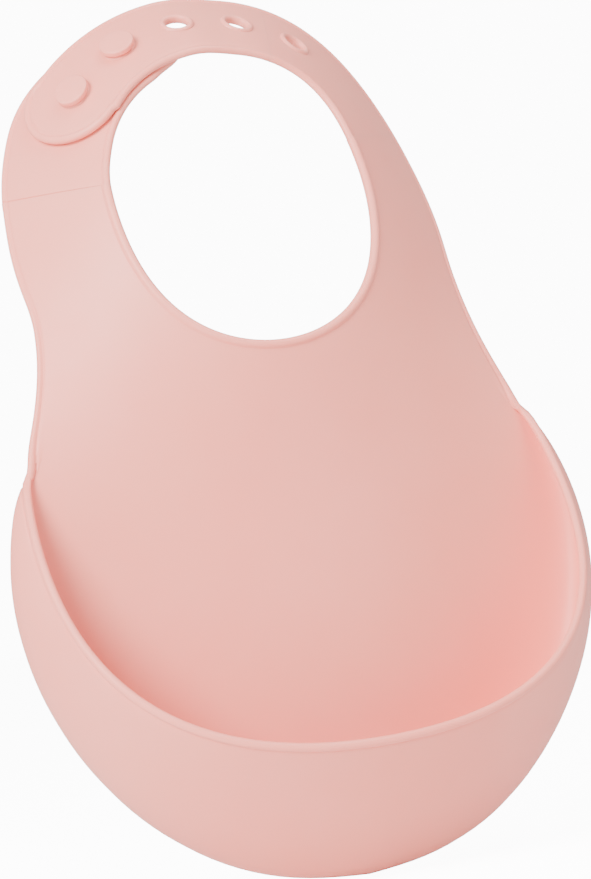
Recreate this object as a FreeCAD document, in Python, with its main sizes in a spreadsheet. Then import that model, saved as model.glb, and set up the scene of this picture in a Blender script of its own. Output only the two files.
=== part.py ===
import FreeCAD, Part
import math
import os

# Soft silicone bib with a catch pouch, a stud strap and an eyelet strap, fastened at its largest size.
# Millimetres, +Z up the chest, -Y to the front, +X to the right when seen from the front.
# The origin is the centre-front neck point, the lowest point of the neckline.

Vector = FreeCAD.Vector
doc = FreeCAD.newDocument("silicone_bib")

# ---------------------------------------------------------------- driving dimensions
DIMENSIONS = {
    # curved sheet: bow across the chest, and how it grows into a collar above bow_start
    "bow_start": -60.0,
    "chest_bow": 26.3,
    "collar_bow": 84.9,
    "collar_bow_ease": 34.5,
    "edge_ease": 11.8,
    "collar_lean": 29.1,
    "collar_sweep": 22.9,
    "sheet_thickness": 2.0,
    "shoulder_foot": 10.0,
    # neckline
    "neck_half_width": 46.6,
    "neck_half_height": 54.5,
    "neck_squareness": 0.16,
    "neck_fullness": 2.9,
    "neck_shift_start": 62.0,
    "neck_shift_aside": 2.0,
    "neck_shift_drop": 0.5,
    # true width of the sheet outside the neckline, at stations round it
    "width_top": 40.3,
    "width_upper_right": 43.6,
    "width_right": 44.6,
    "width_shoulder": 45.6,
    "width_lower": 44.0,
    "width_upper_left": 39.0,
    "width_left": 42.5,
    "left_swell": 6.5,
    "left_swell_angle": 147.0,
    "left_swell_reach": 36.0,
    # sides and pouch corners
    "waist_half_width": 83.8,
    "waist_drop": 7.5,
    "corner_half_width": 89.6,
    "corner_drop": 27.5,
    # pouch
    "root_half_width": 90.9,
    "root_start": 4.6,
    "root_depth": 128.9,
    "root_side_power": 0.87,
    "root_base_power": 1.15,
    "rim_reach": 52.3,
    "rim_drop": 140.0,
    "rim_side_width": 113.4,
    "rim_side_reach": 42.5,
    "rim_side_drop": 125.3,
    "rim_front_width": 48.6,
    "wall_root_fullness": 0.78,
    "wall_rim_fullness": 0.65,
    "wall_rim_fall": 0.79,
    # beads
    "neck_bead_radius": 1.7,
    "edge_bead_radius": 1.3,
    "rim_bead_radius": 1.5,
    "bead_overlap": 0.5,
    # straps and their soft bands, as distances along the strap from the top of the neck
    "stud_pitch": 23.7,
    "top_eyelet_place": 8.2,
    "layer_gap": 0.35,
    "shoulder_band_place": 84.0,
    "hole_band_place": 74.0,
    "curl_band_place": 3.7,
    "band_length": 6.0,
    "band_gap": 0.6,
    "stud_tip_squareness": 0.5,
    "stud_tip_drift": 1.0,
    # studs and eyelets
    "eyelet_radius": 4.15,
    "post_clearance": 0.35,
    "head_radius": 6.9,
    "head_height": 2.4,
    "head_edge": 0.8,
    "seat_clearance": 1.3,
    "lip_width": 2.9,
    "lip_height": 0.7,
    "post_play": 0.3,
}

sheet = doc.addObject("Spreadsheet::Sheet", "Sizes")
for row, (alias, value) in enumerate(DIMENSIONS.items(), start=1):
    sheet.set("A%d" % row, alias)
    sheet.set("B%d" % row, str(value))
    sheet.setAlias("B%d" % row, alias)
doc.recompute()


def size(alias):
    """A driving dimension, read back from the sheet."""
    return float(sheet.get(alias))


THICK = size("sheet_thickness")
LAYER = 2 * size("edge_bead_radius") + size("layer_gap")
HALF_LAYER = LAYER / 2
NECK_CENTRE = size("neck_half_height")
FIRST_LOWER_ANGLE = -28.0


# ---------------------------------------------------------------- the curved sheet
def depth(x, z):
    """How far back the middle of the sheet lies at a place across and up the bib."""
    across_sq = (x / 100.0) ** 2
    rise = max(z - size("bow_start"), 0.0) / 100.0
    bow = size("chest_bow") + size("collar_bow") * rise ** 2 - size("collar_bow_ease") * rise ** 3
    swept = size("collar_sweep") * rise ** 3 - size("collar_lean") * rise ** 2
    return bow * across_sq - size("edge_ease") * across_sq ** 2 + swept


def normal(x, z):
    """Unit normal of the sheet, towards the front."""
    step = 0.05
    slope_x = (depth(x + step, z) - depth(x - step, z)) / (2 * step)
    slope_z = (depth(x, z + step) - depth(x, z - step)) / (2 * step)
    return Vector(slope_x, -1.0, slope_z).normalize()


def on_sheet(place, lift=0.0):
    """The point of the sheet at (x, z), lifted along the normal."""
    x, z = place
    return Vector(x, depth(x, z), z) + normal(x, z) * lift


# ---------------------------------------------------------------- edges of the sheet
def neckline(degrees):
    """Place on the neckline: 0 is the right side, 90 the top, 180 the left, 270 the neck point."""
    angle = math.radians(degrees)
    co, si = math.cos(angle), math.sin(angle)
    x = size("neck_half_width") * co * (1 + size("neck_squareness") * si * si)
    z = NECK_CENTRE * (1 + si) + size("neck_fullness") * co * co
    start = size("neck_shift_start")
    part = min(max((z - start) / (2 * NECK_CENTRE - start), 0.0), 1.0)
    raised = part * part * (3 - 2 * part)
    return x + size("neck_shift_aside") * raised, z - size("neck_shift_drop") * raised


def across(degrees, width):
    """Place that lies a true width outside the neckline, measured over the sheet."""
    x, z = neckline(degrees)
    x_before, z_before = neckline(degrees - 0.1)
    x_after, z_after = neckline(degrees + 0.1)
    length = math.hypot(x_after - x_before, z_after - z_before)
    out_x, out_z = (z_after - z_before) / length, -(x_after - x_before) / length
    start = on_sheet((x, z))
    reach = width
    for _ in range(4):
        far = on_sheet((x + out_x * reach, z + out_z * reach))
        reach *= abs(width) / max((far - start).Length, 1e-6)
    return x + out_x * reach, z + out_z * reach


WIDTH_STATIONS = [
    (FIRST_LOWER_ANGLE, "width_lower"),
    (0.0, "width_shoulder"),
    (30.0, "width_right"),
    (60.0, "width_upper_right"),
    (90.0, "width_top"),
    (120.0, "width_upper_left"),
    (150.0, "width_left"),
    (180.0, "width_shoulder"),
    (180.0 - FIRST_LOWER_ANGLE, "width_lower"),
]


def sheet_width(degrees):
    """True width of the sheet outside the neckline, smooth between the stations."""
    angles = [station[0] for station in WIDTH_STATIONS]
    widths = [size(station[1]) for station in WIDTH_STATIONS]
    last = len(angles) - 2
    k = min(max(sum(1 for a in angles if a <= degrees) - 1, 0), last)
    before, after = max(k - 1, 0), min(k + 2, last + 1)
    span = angles[k + 1] - angles[k]
    slope_a = (widths[k + 1] - widths[before]) / (angles[k + 1] - angles[before])
    slope_b = (widths[after] - widths[k]) / (angles[after] - angles[k])
    f = (degrees - angles[k]) / span
    blend = widths[k] * (2 * f ** 3 - 3 * f ** 2 + 1) + widths[k + 1] * (3 * f ** 2 - 2 * f ** 3)
    return blend + span * (slope_a * (f ** 3 - 2 * f ** 2 + f) + slope_b * (f ** 3 - f ** 2))


def shoulder_width(degrees):
    """Width of the shoulders and the stud strap; the left side swells under the eyelet strap's tip."""
    aside = min(abs(degrees - size("left_swell_angle")) / size("left_swell_reach"), 1.0)
    return sheet_width(degrees) + size("left_swell") * math.cos(aside * math.pi / 2) ** 2


def outer_edge(degrees):
    """Place on the outer edge of the eyelet strap beside the neckline's angle."""
    return across(degrees, sheet_width(degrees))


def shoulder_edge(degrees):
    """Place on the outer edge of the shoulders and the stud strap."""
    return across(degrees, shoulder_width(degrees))


def angles_between(first, last, spacing=6.0):
    """Evenly spaced angles, both ends included."""
    count = max(int(math.ceil(abs(last - first) / spacing)), 2)
    return [first + (last - first) * k / count for k in range(count + 1)]


def mirrored(places):
    """The same places on the other side of the bib."""
    return [(-x, z) for x, z in places]


def evenly(places, spacing=6.0):
    """The same line through evenly spaced places."""
    edge = spline_edge([Vector(x, 0, z) for x, z in places])
    points = edge.discretize(Number=int(edge.Length / spacing) + 2)
    return [(point.x, point.z) for point in points]


def inset(places, distance):
    """Places moved over the sheet to the left of their direction of travel."""
    moved = []
    for k, place in enumerate(places):
        back = on_sheet(places[max(k - 1, 0)])
        ahead = on_sheet(places[min(k + 1, len(places) - 1)])
        side = normal(*place).cross(ahead - back).normalize()
        point = on_sheet(place) + side * distance
        moved.append((point.x, point.z))
    return moved


# ---------------------------------------------------------------- stations along the straps
def strap_middle(degrees):
    return across(degrees, sheet_width(degrees) / 2)


class StrapRuler:
    """Length along the middle of the straps, from the top of the neck towards the left shoulder."""

    def __init__(self):
        self.angles = [-20.0 + 1.0 * k for k in range(221)]
        points = [on_sheet(strap_middle(a)) for a in self.angles]
        self.lengths = [0.0]
        for near, far in zip(points, points[1:]):
            self.lengths.append(self.lengths[-1] + (far - near).Length)
        top = self.lengths[self.angles.index(90.0)]
        self.lengths = [length - top for length in self.lengths]

    def angle(self, distance):
        """The neckline angle at a distance along the strap."""
        for k in range(len(self.angles) - 1):
            if self.lengths[k] <= distance <= self.lengths[k + 1]:
                part = (distance - self.lengths[k]) / (self.lengths[k + 1] - self.lengths[k])
                return self.angles[k] + part * (self.angles[k + 1] - self.angles[k])
        raise ValueError("station %.1f is off the strap" % distance)


ruler = StrapRuler()
PITCH = size("stud_pitch")
EYELET_PLACES = [size("top_eyelet_place") + PITCH * (2 - k) for k in range(5)]
HALF_BAND = size("band_length") / 2
STUD_BAND = (size("shoulder_band_place") - HALF_BAND, size("shoulder_band_place") + HALF_BAND)
HOLE_BAND = (-size("hole_band_place") - HALF_BAND, -size("hole_band_place") + HALF_BAND)
CURL_BAND = (-size("curl_band_place") - HALF_BAND, -size("curl_band_place") + HALF_BAND)
LEFT_CUT = ruler.angle(STUD_BAND[1])
RIGHT_CUT = ruler.angle(HOLE_BAND[0])


def strap_tip(distance):
    """Places round a strap's rounded tip, from its outer edge to its inner edge, past a station."""
    angle = ruler.angle(distance)
    middle = strap_middle(angle)
    radius = sheet_width(angle) / 2
    front = normal(*middle)
    outward = (on_sheet(outer_edge(angle)) - on_sheet(neckline(angle))).normalize()
    return middle, radius, front, outward


def tip_places(distance, towards_left, squareness, drift, width):
    """The tip, from the outer edge to the inner edge: round at squareness 0, square at 1."""
    angle = ruler.angle(distance)
    middle, _, front, outward = strap_tip(distance)
    radius = width(angle) / 2
    along = front.cross(outward) if towards_left else outward.cross(front)
    centre = on_sheet(across(angle, radius)) - outward * drift
    power = 1.0 - squareness
    places = []
    for turn in angles_between(75.0, -75.0, 15.0):
        si, co = math.sin(math.radians(turn)), math.cos(math.radians(turn))
        aside = radius * math.copysign(abs(si) ** power, si)
        point = centre + outward * aside + along * (radius * co ** power)
        places.append((point.x, point.z))
    return places


def strap_loop(root_angle, tip_distance, towards_left, squareness=0.0, drift=0.0, width=sheet_width):
    """Outer edge, tip and inner edge of a strap, in one run of places; it drifts towards the neck."""
    tip_angle = ruler.angle(tip_distance)

    def drifted(angle):
        part = (angle - root_angle) / (tip_angle - root_angle)
        return drift * part * part * (3 - 2 * part)

    angles = angles_between(root_angle, tip_angle)
    outer = [across(a, width(a) - drifted(a)) for a in angles]
    inner = [across(a, -drifted(a)) for a in angles[::-1]]
    return evenly(outer + tip_places(tip_distance, towards_left, squareness, drift, width) + inner)


# ---------------------------------------------------------------- solids from surfaces
def surface(grid):
    """A smooth surface that follows a net of points: cubic, or straight across two lines."""
    degrees = [min(3, len(line) - 1) for line in (grid, grid[0])]
    knots = [list(range(len(line) - degree + 1)) for line, degree in zip((grid, grid[0]), degrees)]
    repeats = [[d + 1] + [1] * (len(steps) - 2) + [d + 1] for steps, d in zip(knots, degrees)]
    net = Part.BSplineSurface()
    net.buildFromPolesMultsKnots(grid, *repeats, *knots, False, False, *degrees)
    return net.toShape()


def closed_solid(faces):
    """One solid from faces that meet edge to edge."""
    shell = Part.makeShell(faces)
    shell.sewShape()
    solid = Part.Solid(Part.Shell(shell.Faces))
    if solid.Volume < 0:
        solid.reverse()
    return solid


def solid_between(front_grid, back_grid):
    """The solid between two surfaces that follow matching nets of points."""
    borders = []
    for grid in (front_grid, back_grid):
        borders.append([grid[0], grid[-1], [line[0] for line in grid], [line[-1] for line in grid]])
    sides = [surface([front, back]) for front, back in zip(*borders)]
    return closed_solid([surface(front_grid), surface(back_grid)] + sides)


def tube(points, radius):
    """A round bead along a run of points."""
    turns = 10
    grid = []
    side = None
    for k, point in enumerate(points):
        ahead = (points[min(k + 1, len(points) - 1)] - points[max(k - 1, 0)]).normalize()
        side = (ahead.cross(Vector(0, 1, 0)) if side is None else side - ahead * side.dot(ahead)).normalize()
        up = ahead.cross(side)
        ring = []
        for j in range(turns):
            turn = 2 * math.pi * j / turns
            ring.append(point + side * (radius * math.cos(turn)) + up * (radius * math.sin(turn)))
        grid.append(ring + [ring[0]])
    round_skin = Part.BSplineSurface()
    round_skin.interpolate(grid)
    skin = round_skin.toShape()
    caps = [Part.Face(Part.Wire([edge])) for edge in skin.Edges if edge.isClosed()]
    return closed_solid([skin] + caps)


def lifted(places, lift=0.0):
    """The points of the sheet at a run of places."""
    return [on_sheet(place, lift) for place in places]


def spline_edge(points):
    curve = Part.BSplineCurve()
    curve.interpolate(points)
    return curve.toShape()


def prism(runs, lift=0.0):
    """A block along Y over a closed outline of runs: two places are a line, more are a curve."""
    edges = []
    for run in runs:
        points = [Vector(point.x, -200.0, point.z) for point in lifted(run, lift)]
        edges.append(Part.makeLine(*points) if len(points) == 2 else spline_edge(points))
    return Part.Face(Part.Wire(edges)).extrude(Vector(0, 500.0, 0))


def slab(lift, x_limits, z_limits, spacing=5.0):
    """A block of the curved sheet, larger than the piece that is cut from it."""
    columns = angles_between(*x_limits, spacing)
    rows = angles_between(*z_limits, spacing)
    front = [[on_sheet((x, z), lift + THICK / 2) for z in rows] for x in columns]
    back = [[on_sheet((x, z), lift - THICK / 2) for z in rows] for x in columns]
    return solid_between(front, back)


# ---------------------------------------------------------------- pouch
def bezier(points, f):
    """A point of a cubic curve."""
    a, b, c, d = points
    g = 1 - f
    return a * g ** 3 + b * (3 * g * g * f) + c * (3 * g * f * f) + d * f ** 3


CORNER = (size("corner_half_width"), -size("corner_drop"))


def rim_point(f):
    """The pouch's mouth: 0 is the right corner, 0.5 the front middle, 1 the left corner."""
    half = 2 * min(f, 1 - f)
    front = Vector(0, -size("rim_reach"), -size("rim_drop"))
    side = Vector(size("rim_side_width"), -size("rim_side_reach"), -size("rim_side_drop"))
    point = bezier([on_sheet(CORNER), side, front + Vector(size("rim_front_width"), 0, 0), front], half)
    return point if f <= 0.5 else Vector(-point.x, point.y, point.z)


def root_place(f):
    """Where the pouch wall leaves the sheet, at the same station as rim_point."""
    turn = math.pi / 2 * 2 * min(f, 1 - f)
    x = size("root_half_width") * max(math.cos(turn), 0.0) ** size("root_side_power")
    z = CORNER[1] - size("root_start") - size("root_depth") * math.sin(turn) ** size("root_base_power")
    return (x, z) if f <= 0.5 else (-x, z)


def wall_section(f, points=9):
    """The pouch wall's middle line from rim to root."""
    rim, root = rim_point(f), on_sheet(root_place(f))
    near = max(min(f, 1 - 1e-3), 1e-3)
    x_a, z_a = root_place(near - 1e-3)
    x_b, z_b = root_place(near + 1e-3)
    length = math.hypot(x_b - x_a, z_b - z_a)
    out_x, out_z = -(z_b - z_a) / length, (x_b - x_a) / length
    place = root_place(f)
    leave = (on_sheet((place[0] + out_x, place[1] + out_z)) - root).normalize()
    outward = Vector(out_x, 0, out_z)
    span = rim - root
    reach = span.Length
    by_root = root + leave * (reach * size("wall_root_fullness"))
    by_rim = rim - span * size("wall_rim_fall") + outward * (reach * size("wall_rim_fullness"))
    return [bezier([rim, by_rim, by_root, root], k / (points - 1)) for k in range(points)]


def pouch_grid():
    stations = 37
    return [wall_section(k / (stations - 1)) for k in range(stations)]


def offset_grid(grid, distance):
    """A grid moved along its own normals."""
    moved = []
    for i, line in enumerate(grid):
        row = []
        for j, point in enumerate(line):
            along = grid[min(i + 1, len(grid) - 1)][j] - grid[max(i - 1, 0)][j]
            down = line[min(j + 1, len(line) - 1)] - line[max(j - 1, 0)]
            row.append(point + along.cross(down).normalize() * distance)
        moved.append(row)
    return moved


# ---------------------------------------------------------------- features of the document
nodes = []


def feature(name, shape):
    """A sub-part whose shape is a curved sheet or bead."""
    piece = doc.addObject("Part::Feature", name)
    piece.Label = name
    piece.Shape = shape
    piece.Placement = FreeCAD.Placement()
    nodes.append(piece)
    return piece


def bead(name, runs, radius):
    """A node of round beads along one or more runs of points."""
    tubes = [tube(points, radius) for points in runs]
    return feature(name, tubes[0] if len(tubes) == 1 else Part.makeCompound(tubes))


def cut_sheet(name, block, runs, lift=0.0):
    """A node cut from a block of the sheet by its outline."""
    return feature(name, block.common(prism(runs, lift)).Solids[0])


def revolved_body(name, corners, placement):
    """A turned piece: corners are (radius, height) expressions of the sheet's values."""
    body = doc.addObject("PartDesign::Body", name)
    body.Label = name
    sketch = body.newObject("Sketcher::SketchObject", name + "_profile")
    plane = next(f for f in body.Origin.OriginFeatures if f.Role == "XZ_Plane")
    sketch.AttachmentSupport = [(plane, "")]
    sketch.MapMode = "FlatFace"
    count = len(corners)
    for k in range(count):
        sketch.addGeometry(Part.LineSegment(Vector(5 + k, k * k, 0), Vector(6 + k, (k + 1) ** 2, 0)), False)
    constrain(sketch, corners)
    doc.recompute()
    turned = body.newObject("PartDesign::Revolution", name + "_turned")
    turned.Profile = sketch
    turned.ReferenceAxis = (sketch, ["V_Axis"])
    turned.Angle = 360.0
    body.Placement = placement
    nodes.append(body)
    return body


def constrain(sketch, corners):
    """Closes the profile and ties every corner to the sheet's values."""
    from Sketcher import Constraint
    count = len(corners)
    for k in range(count):
        sketch.addConstraint(Constraint("Coincident", k, 2, (k + 1) % count, 1))
    for k, (radius, height) in enumerate(corners):
        if radius == "0":
            sketch.addConstraint(Constraint("PointOnObject", k, 1, -2))
        else:
            place = sketch.addConstraint(Constraint("DistanceX", -1, 1, k, 1, 5.0 + k))
            sketch.setExpression("Constraints[%d]" % place, radius)
        place = sketch.addConstraint(Constraint("DistanceY", -1, 1, k, 1, 1.0 + k * k))
        sketch.setExpression("Constraints[%d]" % place, height)


def standing(distance, lift):
    """Placement on the strap at a station, with +Z along the sheet's front normal."""
    place = strap_middle(ruler.angle(distance))
    return FreeCAD.Placement(on_sheet(place, lift), FreeCAD.Rotation(Vector(0, 0, 1), normal(*place)))


# ---------------------------------------------------------------- chest panel and pouch
R_NECK = size("neck_bead_radius")
R_EDGE = size("edge_bead_radius")
LAP = size("bead_overlap")

waist = (size("waist_half_width"), -size("waist_drop"))
right_side = evenly([outer_edge(a) for a in angles_between(RIGHT_CUT, FIRST_LOWER_ANGLE)] + [waist, CORNER])
left_upper = [shoulder_edge(a) for a in angles_between(LEFT_CUT, 180 - FIRST_LOWER_ANGLE)]
left_side = evenly(left_upper + mirrored([waist, CORNER]))
lower_neck = evenly([neckline(a) for a in angles_between(LEFT_CUT, 360 + RIGHT_CUT)])
sheet_neck = inset(lower_neck, -(2 * R_NECK - LAP))
sheet_right = inset(right_side, -(2 * R_EDGE - LAP))
sheet_left = inset(left_side, 2 * R_EDGE - LAP)
root_stations = [k / 36 for k in range(37)]
root_line = [root_place(f) for f in root_stations]

block = slab(0.0, (-104.0, 104.0), (-176.0, 150.0))
panel_outline = [
    sheet_right,
    [sheet_right[-1], root_line[0]],
    root_line,
    [root_line[-1], sheet_left[-1]],
    sheet_left[::-1],
    [sheet_left[0], sheet_neck[0]],
    sheet_neck,
    [sheet_neck[-1], sheet_right[0]],
]
shoulder_foot = -size("shoulder_foot")
cut_sheet("bib_panel", slab(0.0, (-104.0, 104.0), (-176.0, shoulder_foot)), panel_outline)
cut_sheet("right_shoulder", slab(0.0, (0.0, 104.0), (shoulder_foot, 150.0)), panel_outline)
cut_sheet("left_shoulder", slab(0.0, (-104.0, 0.0), (shoulder_foot, 150.0)), panel_outline)

grid = pouch_grid()
front_grid, back_grid = offset_grid(grid, THICK / 2), offset_grid(grid, -THICK / 2)
third = (len(grid) - 1) // 3
for k, name in enumerate(["pouch_wall_right", "pouch_wall_front", "pouch_wall_left"]):
    part = slice(k * third, (k + 1) * third + 1)
    feature(name, solid_between(front_grid[part], back_grid[part]))
bead("pouch_rim", [[rim_point(k / 48) for k in range(49)]], size("rim_bead_radius"))
bead("neckline_bead", [lifted(inset(lower_neck, -R_NECK))], R_NECK)
bead("right_side_bead", [lifted(inset(right_side, -R_EDGE))], R_EDGE)
bead("left_side_bead", [lifted(inset(left_side, R_EDGE))], R_EDGE)


# ---------------------------------------------------------------- soft bands and straps
def band_runs(first, last, edge=outer_edge):
    """Outline of a stretch of strap between two stations, inside its beads."""
    a, b = ruler.angle(first), ruler.angle(last)
    outer = inset([edge(t) for t in angles_between(a, b)], 2 * R_EDGE - LAP)
    inner = inset([neckline(t) for t in angles_between(a, b)], -(2 * R_EDGE - LAP))
    return [outer, [outer[-1], inner[-1]], inner[::-1], [inner[0], outer[0]]]


def strap_runs(loop, towards_left):
    """Outline of a strap's free end, inside its bead."""
    side = 2 * R_EDGE - LAP
    edge = inset(loop, side if towards_left else -side)
    return [edge, [edge[-1], edge[0]]]


def soft_band(limits, edge=outer_edge):
    """Outline of a soft band, just short of the pieces that it joins."""
    return band_runs(limits[0] + size("band_gap"), limits[1] - size("band_gap"), edge)


def strap_slab(lift):
    """The slab that the straps are cut from, at a layer's lift."""
    return slab(lift, (-104.0, 104.0), (20.0, 150.0))


halfway_down = -HALF_LAYER / 2
halfway_up = HALF_LAYER / 2
stud_band = soft_band(STUD_BAND, shoulder_edge)
cut_sheet("stud_strap_hinge_band", strap_slab(halfway_down), stud_band, halfway_down)
stud_tip = size("stud_tip_squareness"), size("stud_tip_drift"), shoulder_width
stud_loop = strap_loop(ruler.angle(STUD_BAND[0]), EYELET_PLACES[1], False, *stud_tip)
cut_sheet("stud_strap", strap_slab(-HALF_LAYER), strap_runs(stud_loop, False), -HALF_LAYER)
bead("stud_strap_bead", [lifted(inset(stud_loop, -R_EDGE), -HALF_LAYER)], R_EDGE)
cut_sheet("hole_strap_hinge_band", strap_slab(0.0), soft_band(HOLE_BAND))
cut_sheet("hole_strap_curl_band", strap_slab(halfway_up), soft_band(CURL_BAND), halfway_up)


def eyelet_lift(k):
    """The layer that an eyelet lies in: the strap rises over the stud strap past its soft band."""
    return HALF_LAYER if EYELET_PLACES[k] > CURL_BAND[1] else 0.0


def pierced_strap(name, runs, eyelets, lift):
    """A stretch of the eyelet strap with round seats for its eyelets."""
    blank = doc.addObject("Part::Feature", name + "_blank")
    blank.Shape = strap_slab(lift).common(prism(runs, lift)).Solids[0]
    tools = []
    for k in eyelets:
        seat = doc.addObject("Part::Cylinder", "%s_seat_%d" % (name, k + 1))
        seat.setExpression("Radius", "Sizes.head_radius + Sizes.seat_clearance")
        seat.setExpression("Height", "Sizes.sheet_thickness * 5")
        seat.Placement = standing(EYELET_PLACES[k], lift - 2.5 * THICK)
        tools.append(seat)
    drill = doc.addObject("Part::MultiFuse", name + "_seats")
    drill.Shapes = tools
    strap = doc.addObject("Part::Cut", name)
    strap.Label = name
    strap.Base = blank
    strap.Tool = drill
    nodes.append(strap)


def edge_runs(first, last):
    """The outer and inner bead lines of the eyelet strap between two stations."""
    a, b = ruler.angle(first), ruler.angle(last)
    outer = inset([outer_edge(t) for t in angles_between(a, b)], R_EDGE)
    inner = inset([neckline(t) for t in angles_between(a, b)], -R_EDGE)
    return [lifted(outer), lifted(inner)]


pierced_strap("hole_strap", band_runs(HOLE_BAND[1], CURL_BAND[0]), [3, 4], 0.0)
bead("hole_strap_bead", edge_runs(HOLE_BAND[1], CURL_BAND[0]), R_EDGE)
end_loop = strap_loop(ruler.angle(CURL_BAND[1]), EYELET_PLACES[0], True)
pierced_strap("hole_strap_end", strap_runs(end_loop, True), [0, 1, 2], HALF_LAYER)
bead("hole_strap_end_bead", [lifted(inset(end_loop, R_EDGE), HALF_LAYER)], R_EDGE)

# ---------------------------------------------------------------- studs and eyelets
POST_FOOT = "Sizes.sheet_thickness / 2"
POST = "Sizes.eyelet_radius - Sizes.post_clearance"
LAYER_TOP = "Sizes.edge_bead_radius * 2 + Sizes.layer_gap + Sizes.sheet_thickness / 2"
HEAD_UNDER = LAYER_TOP + " + Sizes.lip_height + Sizes.post_play"
stud_profile = [
    ("0", POST_FOOT),
    (POST, POST_FOOT),
    (POST, HEAD_UNDER),
    ("Sizes.head_radius", HEAD_UNDER),
    ("Sizes.head_radius", HEAD_UNDER + " + Sizes.head_height - Sizes.head_edge"),
    ("Sizes.head_radius - Sizes.head_edge", HEAD_UNDER + " + Sizes.head_height"),
    ("0", HEAD_UNDER + " + Sizes.head_height"),
]
for k in range(2):
    revolved_body("stud_%d" % (k + 1), stud_profile, standing(EYELET_PLACES[k], -HALF_LAYER))

SEAT = "Sizes.head_radius + Sizes.seat_clearance"
LIP = "Sizes.eyelet_radius + Sizes.lip_width"
HALF_SHEET = "Sizes.sheet_thickness / 2"
eyelet_profile = [
    ("Sizes.eyelet_radius", "-" + HALF_SHEET),
    (SEAT, "-" + HALF_SHEET),
    (SEAT, HALF_SHEET),
    (LIP, HALF_SHEET),
    (LIP, HALF_SHEET + " + Sizes.lip_height"),
    ("Sizes.eyelet_radius", HALF_SHEET + " + Sizes.lip_height"),
]
for k, distance in enumerate(EYELET_PLACES):
    revolved_body("eyelet_%d" % (k + 1), eyelet_profile, standing(distance, eyelet_lift(k)))

# ---------------------------------------------------------------- checks and files
doc.recompute()
for item in doc.Objects:
    if {"Invalid", "Error"} & set(item.State):
        raise RuntimeError("%s failed: %s" % (item.Label, item.State))
for node in nodes:
    if node.Shape.isNull() or not node.Shape.isValid():
        raise RuntimeError("%s has no valid shape" % node.Label)

os.makedirs("parts", exist_ok=True)
for node in nodes:
    node.Shape.exportStep("parts/%s.step" % node.Label)
    print("%-24s %9.1f mm3  %s" % (node.Label, node.Shape.Volume, node.Shape.BoundBox))


def report_axis(name, distance, lift):
    """Prints a station's centre, front normal and direction across the strap."""
    middle, radius, front, outward = strap_tip(distance)
    centre = on_sheet(middle, lift)
    text = "%-22s centre %s front %s across %s"
    print(text % (name, *[tuple(round(c, 4) for c in v) for v in (centre, front, outward)]))


for k, distance in enumerate(EYELET_PLACES):
    report_axis("eyelet_%d" % (k + 1), distance, eyelet_lift(k) + size("lip_height") / 2)
report_axis("stud hinge", sum(STUD_BAND) / 2, halfway_down)
report_axis("hole hinge", sum(HOLE_BAND) / 2, 0.0)
report_axis("curl hinge", sum(CURL_BAND) / 2, halfway_up)
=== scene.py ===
"""A moulded silicone bib with a catch pouch and a studded neck strap, dressed over its frame."""

import logging
import math
from collections.abc import Callable
from dataclasses import dataclass, field
from enum import Enum

import bpy
import numpy as np
from mathutils import Matrix, Vector


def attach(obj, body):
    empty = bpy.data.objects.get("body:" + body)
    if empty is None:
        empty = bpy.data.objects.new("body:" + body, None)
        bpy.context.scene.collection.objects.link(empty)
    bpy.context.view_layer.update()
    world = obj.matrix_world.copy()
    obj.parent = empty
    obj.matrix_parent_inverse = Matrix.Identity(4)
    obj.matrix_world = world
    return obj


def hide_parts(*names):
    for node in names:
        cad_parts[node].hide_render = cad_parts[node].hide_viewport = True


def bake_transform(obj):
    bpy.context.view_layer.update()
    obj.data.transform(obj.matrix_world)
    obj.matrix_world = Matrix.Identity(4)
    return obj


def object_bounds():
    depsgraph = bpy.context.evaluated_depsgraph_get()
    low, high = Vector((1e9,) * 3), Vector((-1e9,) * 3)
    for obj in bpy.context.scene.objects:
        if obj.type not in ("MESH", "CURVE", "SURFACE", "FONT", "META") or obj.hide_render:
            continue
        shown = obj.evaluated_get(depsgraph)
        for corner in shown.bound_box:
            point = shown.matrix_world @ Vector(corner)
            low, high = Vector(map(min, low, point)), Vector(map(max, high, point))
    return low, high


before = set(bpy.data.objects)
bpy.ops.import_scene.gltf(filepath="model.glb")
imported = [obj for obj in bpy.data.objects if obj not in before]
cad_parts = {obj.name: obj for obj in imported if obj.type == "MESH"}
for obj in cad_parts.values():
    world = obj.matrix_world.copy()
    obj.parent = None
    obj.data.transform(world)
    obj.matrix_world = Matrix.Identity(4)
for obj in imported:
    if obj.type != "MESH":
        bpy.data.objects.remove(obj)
FRAME_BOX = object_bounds()

LOG = logging.getLogger("bib")
MM = 0.001
WELD = 0.000004
SHARP = 40.0
ROUND_STEPS = 72
TUBE_STEPS = 24
PUNCH_STEPS = 48

Array = np.ndarray


# ---------------------------------------------------------------- small tools
def smooth(value: Array | float) -> Array | float:
    """Ease from 0 to 1.

    Args:
        value: Where between the two ends, below 0 and above 1 included.

    Returns:
        The eased share, from 0 to 1.
    """
    part = np.clip(value, 0.0, 1.0)
    return part * part * (3 - 2 * part)


def unit(vectors: Array) -> Array:
    """Scale vectors to length one.

    Args:
        vectors: Any stack of vectors, the last axis being x, y and z.

    Returns:
        The same directions at length one.
    """
    return vectors / np.maximum(np.linalg.norm(vectors, axis=-1, keepdims=True), 1e-9)


def gone_along(points: Array) -> Array:
    """Measure how far along a run each of its points lies.

    Args:
        points: The run, one point a row.

    Returns:
        The distances from the first point.
    """
    steps = np.linalg.norm(np.diff(points, axis=0), axis=1)
    return np.concatenate([[0.0], np.cumsum(steps)])


def spread(points: Array, count: int) -> Array:
    """Space points evenly along a run of points.

    Args:
        points: The run, one point a row.
        count: How many points are wanted.

    Returns:
        The evenly spaced points, both ends included.
    """
    along = gone_along(points)
    wanted = np.linspace(0.0, along[-1], count)
    return np.stack([np.interp(wanted, along, points[:, k]) for k in range(points.shape[1])], axis=1)


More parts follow.
